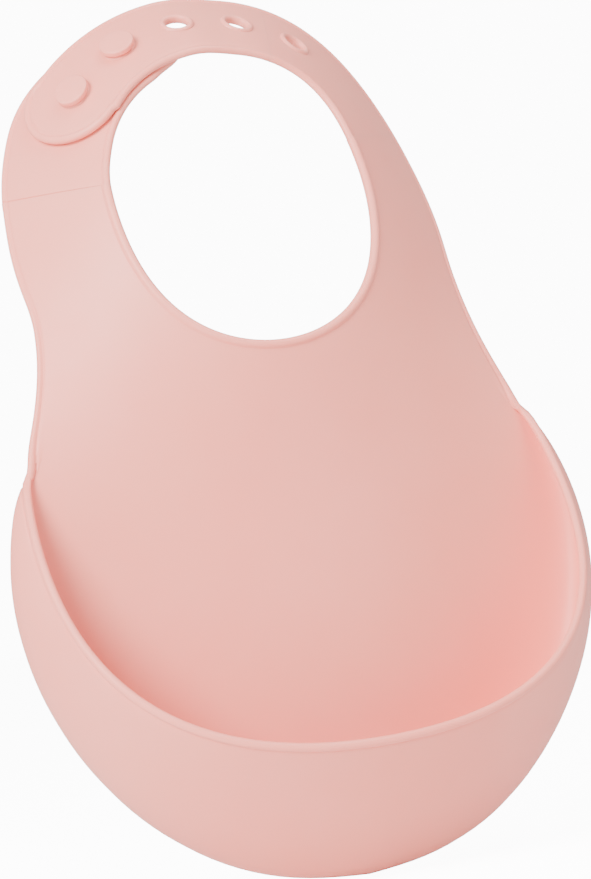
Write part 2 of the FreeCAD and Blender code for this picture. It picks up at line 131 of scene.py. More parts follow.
def curve_through(knots: Array, per_span: int) -> Array:
    """Draw a smooth curve through a few places.

    Args:
        knots: The places, one a row.
        per_span: How many steps each span takes.

    Returns:
        The places along the curve, both ends included.
    """
    padded = np.concatenate([[2 * knots[0] - knots[1]], knots, [2 * knots[-1] - knots[-2]]])
    gaps = np.linalg.norm(np.diff(padded, axis=0), axis=1)
    run = [knots[0]]
    for k in range(1, len(padded) - 2):
        before, start, end, after = padded[k - 1 : k + 3]
        gap = gaps[k]
        leave = gap * (end - before) / (gap + gaps[k - 1])
        arrive = gap * (after - start) / (gap + gaps[k + 1])
        for step in range(1, per_span + 1):
            f = step / per_span
            run.append(
                start * (2 * f**3 - 3 * f**2 + 1)
                + end * (3 * f**2 - 2 * f**3)
                + leave * (f**3 - 2 * f**2 + f)
                + arrive * (f**3 - f**2)
            )
    return np.array(run)


def evened(line: Array, reach: int) -> Array:
    """Even out a run of values, with both ends left in place.

    Args:
        line: The values, by row.
        reach: How many rows to each side are drawn on.

    Returns:
        The evened values.
    """
    weights = np.hanning(2 * reach + 3)[1:-1]
    columns = line.reshape(len(line), -1).T
    padded = [np.pad(c, reach, mode="reflect", reflect_type="odd") for c in columns]
    kept = [np.convolve(c, weights / weights.sum(), mode="valid") for c in padded]
    return np.stack(kept, axis=1).reshape(line.shape)


def gap_to(points: Array, line: Array) -> Array:
    """Measure how far points lie from a line of straight steps.

    Args:
        points: A stack of points, the last axis being x, y and z.
        line: The line's corners, one a row.

    Returns:
        The shortest distance of each point.
    """
    flat = points.reshape(-1, 3)
    best = np.full(len(flat), 1e9)
    for start, end in zip(line[:-1], line[1:]):
        way = end - start
        part = np.clip((flat - start) @ way / max(way @ way, 1e-12), 0.0, 1.0)
        best = np.minimum(best, np.linalg.norm(flat - start - part[:, None] * way, axis=1))
    return best.reshape(points.shape[:-1])


def clear_selection() -> None:
    """Leave nothing selected, so that the next operator acts on its own piece alone."""
    if bpy.context.mode != "OBJECT":
        bpy.ops.object.mode_set(mode="OBJECT")
    bpy.ops.object.select_all(action="DESELECT")


def take_up(obj: bpy.types.Object) -> None:
    """Select one piece and make it the active one.

    Args:
        obj: The piece.
    """
    clear_selection()
    obj.select_set(True)
    bpy.context.view_layer.objects.active = obj


def added(name: str) -> bpy.types.Object:
    """Name the primitive that was just added.

    Args:
        name: The piece's name.

    Returns:
        The new piece.
    """
    obj = bpy.context.active_object
    obj.name = name
    obj.data.name = name
    return obj


def settle(obj: bpy.types.Object, angle: float = SHARP) -> None:
    """Weld a finished piece, turn its faces outwards, shade it smooth and put its place in its mesh.

    Args:
        obj: The piece.
        angle: Edges sharper than this stay sharp, in degrees.
    """
    take_up(obj)
    bpy.ops.object.transform_apply(location=True, rotation=True, scale=True)
    bpy.ops.object.mode_set(mode="EDIT")
    bpy.ops.mesh.select_all(action="SELECT")
    bpy.ops.mesh.remove_doubles(threshold=WELD)
    bpy.ops.mesh.dissolve_degenerate(threshold=WELD)
    bpy.ops.mesh.normals_make_consistent(inside=False)
    bpy.ops.object.mode_set(mode="OBJECT")
    bpy.ops.object.shade_smooth_by_angle(angle=math.radians(angle))


def select_faces_where(obj: bpy.types.Object, test: Callable[[bpy.types.MeshPolygon], bool]) -> None:
    """Select the faces of a piece in edit mode that pass a test.

    Args:
        obj: The piece, in edit mode.
        test: A function of a polygon that says whether it is wanted.
    """
    bpy.ops.mesh.select_all(action="DESELECT")
    bpy.ops.mesh.select_mode(type="FACE")
    bpy.ops.object.mode_set(mode="OBJECT")
    for polygon in obj.data.polygons:
        polygon.select = bool(test(polygon))
    bpy.ops.object.mode_set(mode="EDIT")


# ---------------------------------------------------------------- the mould's shapes
@dataclass(frozen=True)
class Sheet:
    """The curved sheet that the bib is moulded to, in millimetres."""

    bow_start: float = -60.0
    chest_bow: float = 26.3
    collar_bow: float = 84.9
    collar_bow_ease: float = 34.5
    edge_ease: float = 11.8
    collar_lean: float = 29.1
    collar_sweep: float = 22.9
    reach: float = 100.0

    def depth(self, x: Array, z: Array) -> Array:
        """Say how far back the sheet's middle lies.

        Args:
            x: Places across the bib.
            z: Places up the bib.

        Returns:
            The depth at each place.
        """
        aside = (x / self.reach) ** 2
        rise = np.maximum(z - self.bow_start, 0.0) / self.reach
        bow = self.chest_bow + self.collar_bow * rise**2 - self.collar_bow_ease * rise**3
        swept = self.collar_sweep * rise**3 - self.collar_lean * rise**2
        return bow * aside - self.edge_ease * aside**2 + swept

    def front(self, x: Array, z: Array) -> Array:
        """Find the way that the sheet faces.

        Args:
            x: Places across the bib.
            z: Places up the bib.

        Returns:
            Unit vectors towards the front.
        """
        step = 0.05
        slope_x = (self.depth(x + step, z) - self.depth(x - step, z)) / (2 * step)
        slope_z = (self.depth(x, z + step) - self.depth(x, z - step)) / (2 * step)
        return unit(np.stack([slope_x, -np.ones_like(slope_x), slope_z], axis=-1))

    def point(self, x: Array, z: Array, lift: Array | float = 0.0) -> Array:
        """Place points on the sheet, or over it.

        Args:
            x: Places across the bib.
            z: Places up the bib.
            lift: How far towards the front the points stand off the sheet.

        Returns:
            The points, the last axis being x, y and z.
        """
        x, z = np.broadcast_arrays(np.asarray(x, float), np.asarray(z, float))
        base = np.stack([x, self.depth(x, z), z], axis=-1)
        return base + self.front(x, z) * np.asarray(lift)[..., None]


@dataclass(frozen=True)
class Collar:
    """The neckline and the width of sheet round it, in millimetres and degrees.

    Angle 0 is the right side of the neckline, 90 its top, 180 its left and 270 the neck point.
    """

    sheet: Sheet = Sheet()
    half_width: float = 46.6
    half_height: float = 54.5
    squareness: float = 0.16
    fullness: float = 2.9
    shift_start: float = 62.0
    shift_aside: float = 2.0
    shift_drop: float = 0.5
    swell: float = 6.5
    swell_angle: float = 147.0
    swell_reach: float = 36.0
    station_angles: tuple[float, ...] = (-28.0, 0.0, 30.0, 60.0, 90.0, 120.0, 150.0, 180.0, 208.0)
    station_widths: tuple[float, ...] = (44.0, 45.6, 44.6, 43.6, 40.3, 39.0, 42.5, 45.6, 44.0)

    def neckline(self, angle: Array) -> tuple[Array, Array]:
        """Place the neckline.

        Args:
            angle: Angles round the neck, in degrees.

        Returns:
            The places across and up the bib.
        """
        turn = np.radians(np.asarray(angle, float))
        co, si = np.cos(turn), np.sin(turn)
        x = self.half_width * co * (1 + self.squareness * si * si)
        z = self.half_height * (1 + si) + self.fullness * co * co
        raised = smooth((z - self.shift_start) / (2 * self.half_height - self.shift_start))
        return x + self.shift_aside * raised, z - self.shift_drop * raised

    def outward(self, angle: Array) -> tuple[Array, Array]:
        """Find the way out of the neckline, square to it.

        Args:
            angle: Angles round the neck, in degrees.

        Returns:
            The way's share across and its share up the bib.
        """
        x_a, z_a = self.neckline(np.asarray(angle, float) - 0.1)
        x_b, z_b = self.neckline(np.asarray(angle, float) + 0.1)
        length = np.hypot(x_b - x_a, z_b - z_a)
        return (z_b - z_a) / length, -(x_b - x_a) / length

    def across(self, angle: Array, width: Array) -> tuple[Array, Array]:
        """Place points a true width outside the neckline, measured over the sheet.

        Args:
            angle: Angles round the neck, in degrees.
            width: The widths, below 0 for a place inside the neckline.

        Returns:
            The places across and up the bib.
        """
        angle, width = np.broadcast_arrays(np.asarray(angle, float), np.asarray(width, float))
        x, z = self.neckline(angle)
        out_x, out_z = self.outward(angle)
        start = self.sheet.point(x, z)
        reach = width.copy()
        for _ in range(4):
            far = self.sheet.point(x + out_x * reach, z + out_z * reach)
            reach = reach * np.abs(width) / np.maximum(np.linalg.norm(far - start, axis=-1), 1e-6)
        return x + out_x * reach, z + out_z * reach

    def width(self, angle: Array) -> Array:
        """Say how wide the sheet is outside the neckline.

        Args:
            angle: Angles round the neck, in degrees.

        Returns:
            The true widths, smooth between the stations.
        """
        angles, widths = np.array(self.station_angles), np.array(self.station_widths)
        last = len(angles) - 2
        k = np.clip(np.searchsorted(angles, angle, side="right") - 1, 0, last)
        before, after = np.maximum(k - 1, 0), np.minimum(k + 2, last + 1)
        span = angles[k + 1] - angles[k]
        slope_a = (widths[k + 1] - widths[before]) / (angles[k + 1] - angles[before])
        slope_b = (widths[after] - widths[k]) / (angles[after] - angles[k])
        f = (angle - angles[k]) / span
        level = widths[k] * (2 * f**3 - 3 * f**2 + 1) + widths[k + 1] * (3 * f**2 - 2 * f**3)
        return level + span * (slope_a * (f**3 - 2 * f**2 + f) + slope_b * (f**3 - f**2))

    def shoulder_width(self, angle: Array) -> Array:
        """Say how wide the shoulders are, the left one swelling under the eyelet strap's tip.

        Args:
            angle: Angles round the neck, in degrees.

        Returns:
            The true widths.
        """
        aside = np.clip((angle - self.swell_angle) / self.swell_reach, -1.0, 1.0)
        return self.width(angle) + self.swell * np.cos(aside * math.pi / 2) ** 2


@dataclass(frozen=True)
class Strap:
    """Stations along the middle of the straps, in millimetres from the top of the neck.

    They are positive to the left.
    """

    collar: Collar = Collar()
    stud_pitch: float = 23.7
    top_eyelet: float = 8.2
    half_layer: float = 1.475
    over_start: float = -12.0
    over_end: float = 10.0
    under_start: float = 96.0
    under_end: float = 74.0
    ruler_angles: Array = field(default_factory=lambda: np.arange(-20.0, 200.5, 0.5))

    def lengths(self) -> Array:
        """Measure the strap's middle at each angle of the ruler."""
        x, z = self.collar.across(self.ruler_angles, self.collar.width(self.ruler_angles) / 2)
        along = gone_along(self.collar.sheet.point(x, z))
        return along - np.interp(90.0, self.ruler_angles, along)

    def angle(self, station: Array | float) -> Array | float:
        """Turn stations into angles round the neck.

        Args:
            station: Distances along the strap.

        Returns:
            The angles, in degrees.
        """
        return np.interp(station, self.lengths(), self.ruler_angles)

    def station(self, angle: Array | float) -> Array | float:
        """Turn angles round the neck into stations.

        Args:
            angle: The angles, in degrees.

        Returns:
            The distances along the strap.
        """
        return np.interp(angle, self.ruler_angles, self.lengths())

    def over(self, station: Array | float) -> Array | float:
        """Say how far the eyelet strap has risen over the sheet.

        Args:
            station: Distances along the strap.

        Returns:
            The lift at each.
        """
        return self.half_layer * smooth((station - self.over_start) / (self.over_end - self.over_start))

    def under(self, station: Array | float) -> Array | float:
        """Say how far the stud strap has sunk under the sheet.

        Args:
            station: Distances along the strap.

        Returns:
            The lift at each, below 0.
        """
        part = (self.under_start - station) / (self.under_start - self.under_end)
        return -self.half_layer * smooth(part)

    def middle(self, station: float, lift: float = 0.0) -> Array:
        """Place a point on the strap's middle line.

        Args:
            station: The distance along the strap.
            lift: How far the point stands off the sheet.

        Returns:
            The point.
        """
        angle = self.angle(station)
        x, z = self.collar.across(angle, self.collar.width(angle) / 2)
        return self.collar.sheet.point(x, z, lift)

    def eyelet_station(self, number: int) -> float:
        """Say where an eyelet sits, the one nearest the strap's tip being number 1."""
        return self.top_eyelet + self.stud_pitch * (3 - number)

    def eyelet_place(self, number: int) -> Matrix:
        """Find the place of an eyelet, the one nearest the strap's tip being number 1."""
        station = self.eyelet_station(number)
        return self.standing(station, float(self.over(station)))

    def stud_place(self, number: int) -> Matrix:
        """Find the place of the stud that stands in an eyelet."""
        station = self.eyelet_station(number)
        return self.standing(station, float(self.under(station)))

    def standing(self, station: float, lift: float) -> Matrix:
        """Find the place of a round part that stands on the strap.

        Args:
            station: The distance along the strap.
            lift: How far its middle stands off the sheet.

        Returns:
            The matrix, in metres, with Z towards the front and X across the strap.
        """
        angle = self.angle(station)
        x, z = self.collar.across(angle, self.collar.width(angle) / 2)
        front = Vector(self.collar.sheet.front(x, z))
        inner = self.collar.sheet.point(*self.collar.neckline(angle))
        outer = self.collar.sheet.point(*self.collar.across(angle, self.collar.width(angle)))
        aside = Vector(unit(outer - inner))
        aside = (aside - front * aside.dot(front)).normalized()
        place = Matrix((aside, front.cross(aside), front)).transposed().to_4x4()
        place.translation = Vector(self.collar.sheet.point(x, z, lift)) * MM
        return place


# ---------------------------------------------------------------- moulded skins
TONGUE_STEPS = (1.6, 0.05)
TONGUE_SHARE = 0.7


def with_tongue(stations: Array) -> Array:
    """Start a run of stations inside the piece before it.

    Args:
        stations: The run's stations, the first at the seam.

    Returns:
        The stations with the tongue's before them.
    """
    way = np.sign(stations[0] - stations[1])
    return np.concatenate([stations[0] + way * np.array(TONGUE_STEPS), stations])


class Rim(Enum):
    """The kinds of edge that the mould gives the sheet: bead radius, groove depth and groove width."""

    NECK = (1.7, 0.08, 0.9)
    SIDE = (1.3, 0.26, 0.42)
    STRAP_OUTER = (1.3, 0.26, 0.42)
    STRAP_INNER = (1.45, 0.12, 0.6)
    POUCH = (1.5, 0.16, 0.6)


@dataclass(frozen=True)
class Skin:
    """A skin of silicone: a net of points on its middle surface, thickened towards both faces."""

    half_sheet: float = 0.98
    crease: float = 0.1
    bead_turns: tuple[float, ...] = (0.0, 14.0, 29.0, 45.0, 61.0, 76.0, 90.0)
    past_bead: tuple[float, ...] = (1.25, 1.48, 1.68, 1.85, 2.02, 2.2, 2.45, 2.85)

    def edge_steps(self, radius: float) -> Array:
        """Say where the net's lines lie beside an edge.

        Args:
            radius: The bead's radius.

        Returns:
            The distances from the edge, from 0 up.
        """
        turns = np.radians(self.bead_turns)
        return np.concatenate([radius * (1 - np.cos(turns)), radius * np.array(self.past_bead)])

    def half_thickness(self, gaps: list[Array], rims: list[Array]) -> Array:
        """Thicken the skin: a round bead on each edge, a fine groove beside it, then the even sheet.

        Args:
            gaps: For each edge, how far the net's points lie from it.
            rims: For each edge, its bead radius, groove depth and groove width, plain or for each point.

        Returns:
            Half the skin's thickness at each point.
        """
        body = np.full(gaps[0].shape, self.half_sheet)
        for gap, (radius, deep, wide) in zip(gaps, rims):
            body = body - deep * np.exp(-(((gap - 2.0 * radius) / wide) ** 2))
        half = body
        for gap, (radius, _, _) in zip(gaps, rims):
            bead = np.sqrt(np.maximum(radius**2 - (gap - radius) ** 2, 0.0))
            eased = 0.5 * (bead + half + np.sqrt((bead - half) ** 2 + self.crease**2))
            half = np.where(gap < radius, np.minimum(bead, eased), np.where(gap < 2 * radius, eased, half))
        return half

    def mould(self, name: str, net: Array, half: Array) -> bpy.types.Object:
        """Model a skin: a grid is added, laid on the net, welded and thickened.

        Args:
            name: The piece's name.
            net: The points of its middle surface, in millimetres, by row, line and axis.
            half: Half the thickness at each point.

        Returns:
            The closed skin, with its place in its mesh.
        """
        rows, lines = net.shape[:2]
        clear_selection()
        bpy.ops.mesh.primitive_grid_add(x_subdivisions=rows - 1, y_subdivisions=lines - 1, size=1.0)
        obj = added(name)
        flat = np.array([v.co for v in obj.data.vertices])
        row = np.rint((flat[:, 0] + 0.5) * (rows - 1)).astype(int)
        line = np.rint((flat[:, 1] + 0.5) * (lines - 1)).astype(int)
        obj.data.vertices.foreach_set("co", (net[row, line] * MM).astype(np.float32).ravel())
        most = float(half.max())
        wall = obj.vertex_groups.new(name="wall")
        for index, share in enumerate(half[row, line] / most):
            wall.add([index], float(share), "REPLACE")
        obj.data.update()
        bpy.ops.object.mode_set(mode="EDIT")
        bpy.ops.mesh.select_all(action="SELECT")
        bpy.ops.mesh.remove_doubles(threshold=WELD)
        bpy.ops.object.mode_set(mode="OBJECT")
        wall_maker = obj.modifiers.new("wall", "SOLIDIFY")
        wall_maker.thickness = 2 * most * MM
        wall_maker.offset = 0.0
        wall_maker.use_quality_normals = True
        wall_maker.vertex_group = wall.name
        wall_maker.thickness_vertex_group = 0.0
        bpy.ops.object.modifier_apply(modifier=wall_maker.name)
        obj.vertex_groups.clear()
        settle(obj)
        LOG.info("%s: %d faces", name, len(obj.data.polygons))
        return obj


def punch(obj: bpy.types.Object, places: list[Matrix], radius: float, depth: float) -> None:
    """Cut round holes through a skin.

    Args:
        obj: The skin.
        places: The holes' middles, with Z along each hole.
        radius: The holes' radius, in millimetres.
        depth: How long the punch is, in millimetres.
    """
    for place in places:
        clear_selection()
        bpy.ops.mesh.primitive_cylinder_add(vertices=PUNCH_STEPS, radius=radius * MM, depth=depth * MM)
        tool = added("punch")
        tool.data.transform(place)
        take_up(obj)
        cut = obj.modifiers.new("hole", "BOOLEAN")
        cut.operation = "DIFFERENCE"
        cut.solver = "EXACT"
        cut.object = tool
        bpy.ops.object.modifier_apply(modifier=cut.name)
        bpy.data.objects.remove(tool, do_unlink=True)
    take_up(obj)
    bpy.ops.object.shade_smooth_by_angle(angle=math.radians(SHARP))


# ---------------------------------------------------------------- finishes
@dataclass(frozen=True)
class Silicone:
    """A satin moulded silicone."""

    name: str
    colour: tuple[float, float, float]
    deep_colour: tuple[float, float, float]
    roughness: float = 0.46
    glow: float = 0.22

    def grain(self) -> bpy.types.NodeTree:
        """Build, once, the shared group of the silicone's fine grain and faint clouding.

        Returns:
            The group, with the inputs Colour, Deep Colour and Roughness, and the outputs Colour,
            Roughness and Height.
        """
        name = "silicone_grain"
        if name in bpy.data.node_groups:
            return bpy.data.node_groups[name]
        group = bpy.data.node_groups.new(name, "ShaderNodeTree")
        sockets = group.interface
        for label, way, kind in (
            ("Colour", "INPUT", "Color"),
            ("Deep Colour", "INPUT", "Color"),
            ("Roughness", "INPUT", "Float"),
            ("Colour", "OUTPUT", "Color"),
            ("Roughness", "OUTPUT", "Float"),
            ("Height", "OUTPUT", "Float"),
        ):
            sockets.new_socket(label, in_out=way, socket_type="NodeSocket" + kind)
        nodes, link = group.nodes, group.links.new
        inputs, outputs = nodes.new("NodeGroupInput"), nodes.new("NodeGroupOutput")
        where = nodes.new("ShaderNodeTexCoord")
        made = []
        for scale, detail in ((14.0, 3.0), (1900.0, 2.0), (55.0, 4.0)):
            texture = nodes.new("ShaderNodeTexNoise")
            texture.inputs["Scale"].default_value = scale
            texture.inputs["Detail"].default_value = detail
            link(where.outputs["Object"], texture.inputs["Vector"])
            made.append(texture)
        clouds, specks, smears = made
        share = nodes.new("ShaderNodeMapRange")
        share.inputs["From Min"].default_value = 0.35
        share.inputs["From Max"].default_value = 0.7
        link(clouds.outputs["Fac"], share.inputs["Value"])
        mix = nodes.new("ShaderNodeMix")
        mix.data_type = "RGBA"
        link(share.outputs["Result"], mix.inputs["Factor"])
        link(inputs.outputs["Colour"], mix.inputs["A"])
        link(inputs.outputs["Deep Colour"], mix.inputs["B"])
        sheen = nodes.new("ShaderNodeMapRange")
        sheen.inputs["To Min"].default_value = -0.05
        sheen.inputs["To Max"].default_value = 0.05
        link(smears.outputs["Fac"], sheen.inputs["Value"])
        dulled = nodes.new("ShaderNodeMath")
        dulled.operation = "ADD"
        link(inputs.outputs["Roughness"], dulled.inputs[0])
        link(sheen.outputs["Result"], dulled.inputs[1])
        link(mix.outputs["Result"], outputs.inputs["Colour"])
        link(dulled.outputs["Value"], outputs.inputs["Roughness"])
        link(specks.outputs["Fac"], outputs.inputs["Height"])
        return group

    def material(self) -> bpy.types.Material:
        """Build the finish's material.

        Returns:
            The material.
        """
        made = bpy.data.materials.new(self.name)
        made.use_nodes = True
        nodes, link = made.node_tree.nodes, made.node_tree.links.new
        shader = nodes["Principled BSDF"]
        steady = {
            "Subsurface Weight": self.glow,
            "Subsurface Radius": (1.0, 0.45, 0.35),
            "Subsurface Scale": 0.004,
            "IOR": 1.41,
            "Sheen Weight": 0.03,
            "Sheen Roughness": 0.5,
        }
        for socket, value in steady.items():
            shader.inputs[socket].default_value = value
        grain = nodes.new("ShaderNodeGroup")
        grain.node_tree = self.grain()
        grain.inputs["Colour"].default_value = (*self.colour, 1.0)
        grain.inputs["Deep Colour"].default_value = (*self.deep_colour, 1.0)
        grain.inputs["Roughness"].default_value = self.roughness
        bump = nodes.new("ShaderNodeBump")
        bump.inputs["Strength"].default_value = 0.12
        bump.inputs["Distance"].default_value = 0.00004
        link(grain.outputs["Colour"], shader.inputs["Base Color"])
        link(grain.outputs["Roughness"], shader.inputs["Roughness"])
        link(grain.outputs["Height"], bump.inputs["Height"])
        link(bump.outputs["Normal"], shader.inputs["Normal"])
        return made


class Finish(Enum):
    """The bib's finishes."""

    CHEST = Silicone("chest_silicone", (0.92, 0.30, 0.23), (0.91, 0.27, 0.205))
    STRAPS = Silicone("strap_silicone", (0.92, 0.30, 0.23), (0.91, 0.27, 0.205), 0.44)
    # The eyelets and studs take a slightly lighter copy of the strap silicone's colour: a painted highlight
    # for the light on their raised, rounded lips and heads.
    EYELETS = Silicone("eyelet_silicone", (0.925, 0.31, 0.24), (0.915, 0.28, 0.215), 0.42)
    STUDS = Silicone("stud_silicone", (0.925, 0.31, 0.24), (0.915, 0.28, 0.215), 0.43)


class Palette:
    """The materials, each made once."""

    def __init__(self) -> None:
        """Make every finish's material."""
        self.made = {finish: finish.value.material() for finish in Finish}

    def dress(self, obj: bpy.types.Object, finish: Finish) -> None:
        """Give a piece its finish.

        Args:
            obj: The piece.
            finish: Which finish.
        """
        obj.data.materials.clear()
        obj.data.materials.append(self.made[finish])


# ---------------------------------------------------------------- chest, shoulders and pouch
@dataclass(frozen=True)
class BibBody:
    """The chest panel, its shoulders and the catch pouch, moulded in one skin; sizes in millimetres."""

    strap: Strap
    skin: Skin = Skin()
    left_end: float = 95.0
    right_end: float = -86.0
    lower_angle: float = -28.0
    waist: tuple[float, float] = (83.8, -7.5)
    corner: tuple[float, float] = (91.4, -27.0)
    strip: float = 5.6
    root_half_width: float = 92.2
    root_start: float = 4.6
    root_depth: float = 128.9
    root_side_power: float = 0.87
    root_base_power: float = 1.15
    rim_front: tuple[float, float, float] = (0.0, -52.3, -140.0)
    rim_side: tuple[float, float, float] = (113.4, -42.5, -125.3)
    rim_front_width: float = 48.6
    root_fullness: float = 0.78
    rim_fullness: float = 0.65
    rim_fall: float = 0.79
    fold_share: float = 0.05
    strip_share: float = 0.8
    shoulder_stations: int = 33
    shoulder_knots: int = 4
    side_stations: int = 16
    pouch_stations: int = 60
    chest_lines: int = 38
    wall_lines: int = 30
    fine_steps: int = 160
    column_pull: float = 0.45
    join_rows: float = 14.0
    even_neck: int = 12
    even_foot: int = 6
    even_edge: int = 3
    even_side: int = 8
    even_start: int = 4

    def rim_point(self, share: Array) -> Array:
        """Place the pouch's mouth on the right half.

        Args:
            share: 0 at the corner, 1 at the front middle.

        Returns:
            The points.
        """
        front = np.array(self.rim_front)
        poles = [
            self.strap.collar.sheet.point(*self.corner),
            np.array(self.rim_side),
            front + np.array([self.rim_front_width, 0.0, 0.0]),
            front,
        ]
        return self.bend(poles, share)

    def root_place(self, share: Array) -> tuple[Array, Array]:
        """Place the line where the pouch wall leaves the sheet, on the right half.

        Args:
            share: 0 at the corner, 1 at the front middle.

        Returns:
            The places across and up the bib.
        """
        turn = np.asarray(share) * math.pi / 2
        x = self.root_half_width * np.maximum(np.cos(turn), 0.0) ** self.root_side_power
        drop = self.root_start + self.root_depth * np.sin(turn) ** self.root_base_power
        return x, self.corner[1] - drop

    def root_outward(self, share: Array) -> tuple[Array, Array]:
        """Find the way out of the root line, square to it.

        Args:
            share: 0 at the corner, 1 at the front middle.

        Returns:
            The way's share across and its share up the bib.
        """
        near = np.clip(share, 0.002, 0.998)
        x_a, z_a = self.root_place(near - 0.002)
        x_b, z_b = self.root_place(near + 0.002)
        length = np.hypot(x_b - x_a, z_b - z_a)
        out_x, out_z = -(z_b - z_a) / length, (x_b - x_a) / length
        middle = np.asarray(share) > 0.998
        return np.where(middle, 0.0, out_x), np.where(middle, -1.0, out_z)

    def side_edge(self, start_angle: float, mirrored: bool) -> tuple[Array, Array]:
        """Draw the side edge from a shoulder to the pouch corner, as on the right half.

        Args:
            start_angle: The neckline angle at the shoulder.
            mirrored: Whether the widths of the left side are wanted.

        Returns:
            The stations' places, one a row, and the neckline angle beside each as far as the shoulder goes.
        """
        collar = self.strap.collar
        angles = np.linspace(start_angle, self.lower_angle, self.shoulder_stations)
        widths = collar.shoulder_width(180.0 - angles if mirrored else angles)
        upper = np.stack(collar.across(angles, widths), axis=1)
        step = self.shoulder_stations // self.shoulder_knots
        knots = np.concatenate([upper[::-1][step::step][::-1], upper[-1:], [self.waist, self.corner]])
        lower = curve_through(knots[-6:], 24)
        nearest = int(np.argmin(np.linalg.norm(lower - upper[-1], axis=1)))
        lower = spread(lower[nearest:], self.side_stations + 1)
        return np.concatenate([upper, lower[1:]]), angles

    def chest_column(self, start: Array, end: Array, leave: Array, arrive: Array, lift: float) -> Array:
        """Lay one line of the chest's net from the neckline to the foot of the wall.

        Args:
            start: Its place on the neckline.
            end: Its place at the foot of the wall.
            leave: The way out of the neckline.
            arrive: The way out over the foot.
            lift: How far the line stands off the sheet.

        Returns:
            The points.
        """
        f = np.linspace(0.0, 1.0, self.fine_steps)[:, None]
        pull = np.linalg.norm(end - start) * self.column_pull
        chord = end - start
        bow_out = (f - 2 * f**2 + f**3) * (leave * pull - chord * self.column_pull)
        bow_in = (f**3 - f**2) * (arrive * pull - chord * self.column_pull)
        path = start + chord * f + bow_out + bow_in
        points = self.strap.collar.sheet.point(path[:, 0], path[:, 1], lift)
        gone = gone_along(points)
        steps = self.skin.edge_steps(Rim.NECK.value[0])
        rest = np.linspace(steps[-1], gone[-1], self.chest_lines + 1)[1:]
        share = np.interp(np.concatenate([steps, rest]), gone, f[:, 0])
        path = np.stack([np.interp(share, f[:, 0], path[:, k]) for k in range(2)], axis=1)
        return self.strap.collar.sheet.point(path[:, 0], path[:, 1], lift)

    def wall_column(self, outer: Array, base: Array, leave: Array, out: Array, bulge: float) -> Array:
        """Lay one line of the net from the foot of the wall to the edge.

        Args:
            outer: Its point on the edge.
            base: Its point at the foot of the wall.
            leave: The way that the sheet runs out over the foot.
            out: The way out of the foot, level with the front.
            bulge: 0 for a line that stays in the sheet, 1 for the pouch's full wall.

        Returns:
            The points after the foot's own.
        """
        chord = outer - base
        reach = np.linalg.norm(chord)
        third = chord / 3 * (1 - bulge)
        by_root = base + third + leave * (reach * self.root_fullness * bulge)
        by_rim = outer - third - (chord * self.rim_fall - out * reach * self.rim_fullness) * bulge
        poles = [outer, by_rim, by_root, base]
        shares = np.linspace(0.0, 1.0, self.fine_steps)
        fine = self.bend(poles, shares)
        gone = gone_along(fine)
        steps = self.skin.edge_steps(Rim.POUCH.value[0])
        steps = steps * min(1.0, self.strip_share * gone[-1] / steps[-1])
        rest = np.linspace(steps[-1], gone[-1], self.wall_lines + 1)[1:-1]
        wanted = np.interp(np.concatenate([steps, rest]), gone, shares)
        return self.bend(poles, wanted)[::-1]

    def half_net(self, start_angle: float, mirrored: bool) -> tuple[Array, Array]:
        """Lay the net of half the body, from the shoulder's end to the middle of the pouch.

        Args:
            start_angle: The neckline angle at the shoulder's end, as on the right half.
            mirrored: Whether this half is the left one.

        Returns:
            The net in millimetres, by row, line and axis, and the bead radius at the outer edge of each row.
        """
        collar, sheet = self.strap.collar, self.strap.collar.sheet
        edge, angles = self.side_edge(start_angle, mirrored)
        edge = edge[:-1]
        edge_way = np.gradient(edge, axis=0)
        outward = unit(np.stack([-edge_way[:, 1], edge_way[:, 0]], axis=1))
        shares = np.linspace(0.0, 1.0, 400)
        rim_line = self.rim_point(shares)
        along = gone_along(rim_line)
        share = np.interp(np.linspace(0.0, along[-1], self.pouch_stations), along, shares)
        fold = smooth(share / self.fold_share)
        root = np.stack(self.root_place(share), axis=1)
        first = edge[-1] + (edge[-1] - edge[-2]) - outward[-1] * self.strip
        root = root + (1 - fold)[:, None] * (first - root[0])
        ways = np.concatenate([outward, np.stack(self.root_outward(share), axis=1)])
        split = np.concatenate([edge - outward * self.strip, root])
        neck_angles = np.linspace(-95.0, self.lower_angle + 20.0, 500)
        neck_x, neck_z = collar.neckline(neck_angles)
        neck_polar = np.degrees(np.arctan2(neck_z - collar.half_height, neck_x))
        split_polar = np.degrees(np.arctan2(split[:, 1] - collar.half_height, split[:, 0]))
        theta = np.interp(split_polar, neck_polar, neck_angles)
        rows = np.arange(len(theta)) - len(angles)
        joined = smooth(rows / self.join_rows)[:, None]
        widths = collar.shoulder_width(180.0 - angles if mirrored else angles)
        on_line = np.stack(collar.across(angles, widths - self.strip), axis=1)
        theta += (angles[-1] - theta[len(angles) - 1]) * (1 - joined[:, 0])
        split += (on_line[-1] - split[len(angles) - 1]) * (1 - joined)
        theta[: len(angles)] = angles
        split[: len(angles)] = on_line
        last = len(angles) - 1
        theta[last:] = evened(np.minimum.accumulate(theta[last:]), self.even_neck)
        split[last:] = evened(split[last:], self.even_foot)
        start = np.stack(collar.neckline(theta), axis=1)
        leave_ways = np.stack(collar.outward(theta), axis=1)
        straight = unit(split - start)
        ways[last:] = unit(evened(ways[last:], self.even_foot))
        ways = unit(straight * (1 - joined) + ways * joined)
        leave_ways = unit(straight * (1 - joined) + leave_ways * joined)
        lift = self.strap.under(self.strap.station(180.0 - theta)) if mirrored else np.zeros(len(theta))
        side = sheet.point(edge[:, 0], edge[:, 1], lift[: len(edge)])
        outer = np.concatenate([side, self.rim_point(share)])
        outer[self.even_start : len(edge)] = evened(outer[self.even_start : len(edge)], self.even_side)
        outer[last:] = evened(outer[last:], self.even_edge)
        bulge = np.concatenate([np.zeros(len(edge)), fold])
        net = []
        for k in range(len(theta)):
